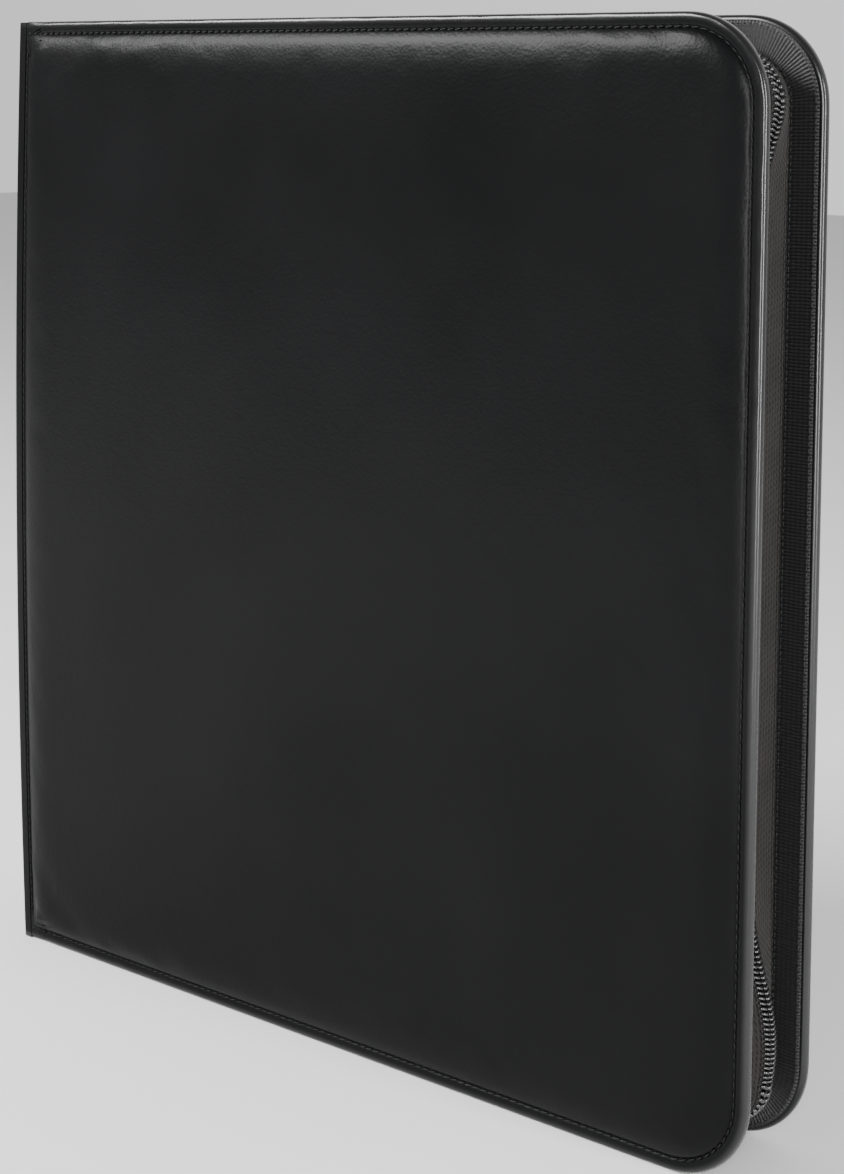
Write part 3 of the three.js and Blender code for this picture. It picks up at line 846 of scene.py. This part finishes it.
bpy.ops.mesh.delete(type="FACE")
pick(lug, lambda e: len(e.link_faces) == 1, "EDGE")
bpy.ops.mesh.bridge_edge_loops()
pick(lug, lambda e: edge_runs(e, 1, lambda m: m.z > slider_high.z - 1e-5), "EDGE")
bpy.ops.mesh.bevel(offset=0.0012, segments=4, affect="EDGES")
face_outwards()
finish_editing()
slider = joined("zipper_slider", plate, under_plate, divider, lug)
round_edges(slider, 0.00018)
plated = metal_finish("dark plated zinc")
slider.data.materials.append(plated)
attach(slider, "zip_slider")
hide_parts("zip_slider")


# The pull: a flat tab with a round end, a necked eye that hooks on the slider's lug, and a pressed panel on
# each face.
tab_low, tab_high = [Vector(corner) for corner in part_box("zip_pull_tab")]
tab_half = tab_high.y
EYE_LENGTH, EYE_WIDTH, NECK_LENGTH = 0.0048, 0.0052, 0.0040
pull = flat_start("zipper_pull", (tab_low.x + EYE_LENGTH / 2, 0, tab_low.z), EYE_LENGTH, EYE_WIDTH)
bpy.ops.mesh.select_all(action="SELECT")
bpy.ops.mesh.inset(thickness=0.0011)
bpy.ops.mesh.delete(type="FACE")
pick(pull, lambda e: edge_runs(e, 1, lambda m: m.x > tab_low.x + EYE_LENGTH - 0.0001), "EDGE")
extrude(NECK_LENGTH, 0, 0)
bpy.ops.transform.resize(value=(1, 2 * tab_half / EYE_WIDTH, 1), center_override=(0, 0, 0))
extrude(tab_high.x - tab_low.x - EYE_LENGTH - NECK_LENGTH, 0, 0)
pick(pull, lambda v: v.co.x > tab_high.x - 1e-5)
bpy.ops.mesh.bevel(offset=tab_half - 0.0002, segments=8, affect="VERTICES")
bpy.ops.mesh.select_all(action="SELECT")
extrude(0, 0, tab_high.z - tab_low.z)
face_outwards()
pick(pull, lambda f: abs(f.normal.z) > 0.9 and f.calc_center_median().x > tab_low.x + 0.0095, "FACE")
bpy.ops.mesh.inset(thickness=0.0011, use_individual=True)
bpy.ops.mesh.inset(thickness=0.0003, depth=-0.00022, use_individual=True)
finish_editing()
round_edges(pull, 0.00015)
pull.data.materials.append(plated)
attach(pull, "zip_pull")
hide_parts("zip_pull_tab")


# The stops: a moulded nylon block on each tape's first turns, with three ridges across it.
for node in ("zip_top_stop", "zip_bottom_stop"):
    low, high = [Vector(corner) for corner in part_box(node)]
    stop = add_block(node + "_moulding", low, high)
    pick(stop, lambda e: edge_runs(e, 0), "EDGE")
    bpy.ops.mesh.subdivide(number_cuts=6)
    pick(stop, lambda v: round((v.co.x - low.x) / (high.x - low.x) * 7) in (2, 4, 6))
    bpy.ops.transform.resize(value=(1, 0.86, 0.84), center_override=(low + high) / 2)
    finish_editing()
    round_edges(stop, 0.00018)
    stop.data.materials.append(coil_nylon)
    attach(stop, "back_cover")
    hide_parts(node)


# The end patches: a leatherette patch folded over the tapes' ends above the spine, one at the top and one at the
# bottom, with a line of stitches along each side of it.
for node, up in (("zip_end_tab_top", 1), ("zip_end_tab_bottom", -1)):
    low, high = [Vector(corner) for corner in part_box(node)]
    patch = add_block(node + "_patch", low, high)
    pick(patch, lambda e: edge_runs(e, 2), "EDGE")
    bpy.ops.mesh.bevel(offset=0.0015, segments=4, affect="EDGES")
    pick(patch, lambda f: f.normal.z * up > 0.9, "FACE")
    for thickness, rise in ((0.0003, 0.0), (0.0004, -0.00015), (0.0003, 0.00015), (0.0003, 0.00010)):
        ring_in(thickness, rise * up)
    finish_editing()
    round_edges(patch, 0.00012)
    patch.data.materials.append(leather)
    stitches = []
    face_z = high.z if up > 0 else low.z
    for x in (low.x + 0.0007, high.x - 0.0007):
        for step in range(-3, 4):
            one = stitch("patch_stitch", 0.0014, 0.00035)
            one.rotation_euler.z = math.pi / 2
            one.location = (x, step * 0.0021 - 0.0007, face_z)
            settle()
            stitches.append(one)
    sewing = joined(node + "_stitching", *stitches)
    sewing.data.materials.append(black_thread)
    for piece in (patch, sewing):
        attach(piece, "back_cover")
    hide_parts(node)


# Inside the covers and the spine: soft foam pads under the leatherette, stiff black-lined board, and a lining
# cloth glued over the boards and turned under at its edges.
def flat_blank(name, node, axis):
    """A plane over a node's flat side, on the bench, with its fore corners rounded as the cover's are."""
    low, high = [Vector(corner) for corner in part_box(node)]
    inner = min(abs(low[axis]), abs(high[axis]))
    left, right = (low.x, high.x) if axis == 1 else (-high.y, -low.y)
    piece = flat_start(name, ((left + right) / 2, (low.z + high.z) / 2, inner), right - left, high.z - low.z)
    if axis == 1:
        pick(piece, lambda v: v.co.x > right - 1e-4)
        bpy.ops.mesh.bevel(offset=FORE_RADIUS - (PANEL_RIGHT - right), segments=12, affect="VERTICES")
    bpy.ops.mesh.select_all(action="SELECT")
    return piece, abs(high[axis] - low[axis])


def put_in_place(piece, side):
    if side == "spine":
        only(piece)
        piece.matrix_world = to_spine
        settle()
    else:
        stand_up(piece)
    if side == "back":
        front_side, name = piece, piece.name
        piece = mirrored(front_side, "turned")
        bpy.data.objects.remove(front_side)
        piece.name = piece.data.name = name
    return piece


def foam_finish(name):
    material, shader, place = finish_named(name, Roughness=0.95, Specular_IOR_Level=0.1)
    cells = place.node("ShaderNodeTexVoronoi", {}, {"Vector": place, "Scale": 1500.0})
    colour_by(cells, shader, (0.1, (0.028, 0.028, 0.030)), (0.6, (0.085, 0.085, 0.090)))
    relief_by(cells, shader, 0.8, 0.0002)
    return material


def board_finish(name):
    material, shader, place = finish_named(name, Roughness=0.9, Specular_IOR_Level=0.15)
    fibres, flecks = patches(place, 700.0, 8.0), patches(place, 120.0, 4.0)
    colour_by(fibres * 0.6 + flecks * 0.4, shader, (0.3, (0.030, 0.029, 0.028)), (0.7, (0.060, 0.057, 0.054)))
    relief_by(fibres, shader, 0.4, 0.00008)
    return material


foam, stiff_board = foam_finish("soft foam"), board_finish("black-lined board")
lining_cloth = woven("black lining", (0.010, 0.010, 0.011), "X", "Z")
for side in ("front", "back", "spine"):
    body = side if side == "spine" else side + "_cover"
    axis = 0 if side == "spine" else 1
    pad, depth = flat_blank(body + "_foam_pad", body + "_foam", axis)
    extrude(0, 0, depth * 0.35)
    ring_in(0.0030, depth * 0.40)
    ring_in(0.0050, depth * 0.20)
    face_outwards()
    finish_editing()
    pad = put_in_place(pad, side)
    round_edges(pad, 0.0002)
    pad.data.materials.append(foam)
    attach(pad, body)
    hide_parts(body + "_foam")

    cloth, depth = flat_blank(body + "_lining_cloth", body + "_lining", axis)
    ring_in(0.0012, 0)
    ring_in(0.0020, 0.00015)
    finish_editing()
    cloth = put_in_place(cloth, side)
    smooth_and_thicken(cloth, -depth * 0.7, levels=0)
    cloth.data.materials.append(lining_cloth)
    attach(cloth, body)
    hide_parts(body + "_lining")
    body + "_board"
    bpy.data.objects[body + "_board"].material_slots[0].material = stiff_board


# The leaves: a black polypropylene sheet with clear film welded over both faces in four columns and three rows
# of pockets, held in a moulded strip on the spine. One is modelled and copied, and each copy gets its own reach.
def plastic_finish(name, colour, rough, coat):
    material, shader, place = finish_named(name, Coat_Weight=coat, Coat_Roughness=0.08)
    haze = patches(place, 45.0, 4.0)
    colour_by(haze, shader, (0.3, shaded(colour, 0.8)), (0.7, shaded(colour, 1.2)))
    plug(haze * 0.15 + rough, shader, "Roughness")
    relief_by(patches(place, 420.0, 3.0), shader, 0.2, 0.0001)
    return material


weld_plastic = plastic_finish("black polypropylene", (0.013, 0.013, 0.014), 0.5, 0.0)
pocket_film = plastic_finish("pocket film", (0.020, 0.020, 0.022), 0.16, 0.6)
leaf_low, leaf_high = [Vector(corner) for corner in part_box("page_10")]
POCKET_PITCH, WELD_HALF, SHEET_HALF = 0.0710, 0.0010, 0.00018
pocket_left = leaf_high.x - 4 * POCKET_PITCH
bpy.ops.object.select_all(action="DESELECT")
bpy.ops.mesh.primitive_grid_add(x_subdivisions=4, y_subdivisions=3, size=1, location=(
    (pocket_left + leaf_high.x) / 2, (leaf_low.z + leaf_high.z) / 2, -SHEET_HALF))
bpy.context.object.scale = (4 * POCKET_PITCH, leaf_high.z - leaf_low.z, 1)
leaf = start_piece("leaf_pattern")
bpy.ops.mesh.select_all(action="SELECT")
extrude(0, 0, 2 * SHEET_HALF)
face_outwards()
pick(leaf, lambda e: edge_runs(e, 2, lambda m: m.x > leaf_high.x - 1e-5 and (
    m.y < leaf_low.z + 1e-5 or m.y > leaf_high.z - 1e-5)), "EDGE")
bpy.ops.mesh.bevel(offset=0.003, segments=4, affect="EDGES")
pick(leaf, lambda f: abs(f.normal.z) > 0.9, "FACE")
bpy.ops.mesh.inset(thickness=WELD_HALF, use_individual=True)
bpy.ops.mesh.inset(thickness=0.0008, depth=0.00012, use_individual=True)
pick(leaf, lambda f: abs(f.normal.z) > 0.9 and abs(f.calc_center_median().z) > 0.00025, "FACE")
leaf.data.materials.append(weld_plastic)
leaf.data.materials.append(pocket_film)
leaf.active_material_index = 1
bpy.ops.object.material_slot_assign()
pick(leaf, lambda f: f.normal.x < -0.9 and f.calc_center_median().x < pocket_left + 1e-5, "FACE")
extrude(-0.0001, 0, 0)
finish_editing()
stand_up(leaf)
for number in range(1, 21):
    node = "page_%02d" % number
    low, high = [Vector(corner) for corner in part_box(node)]
    only(leaf)
    bpy.ops.object.duplicate()
    page = bpy.context.object
    page.name = page.data.name = "leaf_%02d" % number
    page.location.y = (low.y + high.y) / 2
    settle()
    for vertex in page.data.vertices:
        if vertex.co.x < pocket_left - 0.00005:
            vertex.co.x = low.x
    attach(page, node)
    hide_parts(node)
bpy.data.objects.remove(leaf)
bpy.data.objects["page_binding"].material_slots[0].material = weld_plastic
